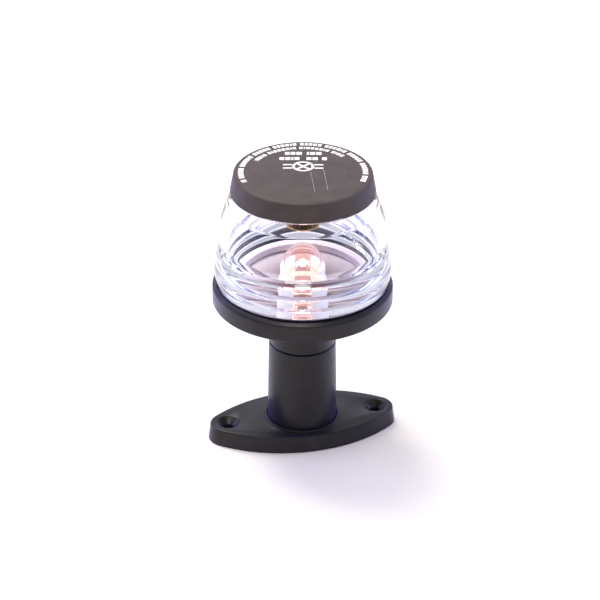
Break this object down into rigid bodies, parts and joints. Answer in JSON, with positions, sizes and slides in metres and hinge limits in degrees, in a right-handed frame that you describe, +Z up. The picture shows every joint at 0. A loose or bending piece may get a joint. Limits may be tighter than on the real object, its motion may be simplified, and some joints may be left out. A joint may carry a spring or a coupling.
{
  "type": "navigation light",
  "caption": "All-round navigation light with a clear ribbed barrel lens and black cap on a round base, raised on a column with an oval screw-down foot.",
  "frame": {"origin": "centre of the foot's underside, where the light rests on the deck", "axes": "+Z up the column towards the cap, +X along the foot's long axis through both fixing holes"},
  "size_m": [0.0798, 0.074, 0.121],
  "materials": {
    "black_plastic": "satin",
    "cap_plastic": "satin",
    "rubber": "matt",
    "lens_clear": "polished",
    "bulb_clear": "polished",
    "nickel": "polished",
    "nylon": "satin",
    "steel": "satin",
    "brass": "satin",
    "solder": "satin",
    "laminate": "satin",
    "phenolic": "satin",
    "black_glass": "gloss",
    "tungsten": "satin"
  },
  "bodies": {
    "stand": {"foot_plate": "black_plastic", "column_tube": "black_plastic", "column_screw_1": "steel", "column_screw_2": "steel", "cable_grommet": "rubber", "column_seal": "rubber", "head_base": "black_plastic", "head_lock_screw": "steel", "lampholder_plate": "laminate", "trim_ring": "laminate", "lampholder_body": "nylon", "lampholder_screw_1": "steel", "lampholder_screw_2": "steel", "lampholder_insulator": "phenolic", "contact_spring_1": "steel", "contact_spring_2": "steel", "terminal_tag_1": "brass", "terminal_tag_2": "brass", "terminal_screw_1": "steel", "terminal_screw_2": "steel"},
    "contacts": {"contact_plunger_1": "brass", "contact_plunger_2": "brass"},
    "bulb": {"bulb_cap": "nickel", "bulb_insulator": "black_glass", "bulb_contact_1": "solder", "bulb_contact_2": "solder", "bulb_glass": "bulb_clear", "bulb_stem": "bulb_clear", "bulb_filament": "tungsten"},
    "seal": {"lens_seal": "rubber"},
    "lens": {"lens": "lens_clear", "lens_cap": "cap_plastic", "heat_shield": "brass", "cap_screw": "steel"}
  },
  "joints": [
    {"name": "bulb_push", "type": "slide", "parent": "stand", "child": "contacts", "axis": [0, 0, 1], "range_m": [-0.0022, 0], "stiffness_N_per_m": 1500, "springref_m": 0.003, "deforming": ["contact_spring_1", "contact_spring_2"]},
    {"name": "bulb_twist", "type": "hinge", "parent": "contacts", "child": "bulb", "pos_m": [0, 0, 0.0599], "axis": [0, 0, 1], "range_deg": [0, 18]},
    {"name": "lens_rise", "type": "slide", "parent": "stand", "child": "seal", "axis": [0, 0, 1], "range_m": [0, 0.0046]},
    {"name": "lens_turn", "type": "hinge", "parent": "seal", "child": "lens", "pos_m": [0, 0, 0.0705], "axis": [0, 0, 1], "range_deg": [0, 540]}
  ],
  "couplings": [
    {"joint": "lens_rise", "follows": "lens_turn", "m_per_rad": 0.00047746}
  ]
}
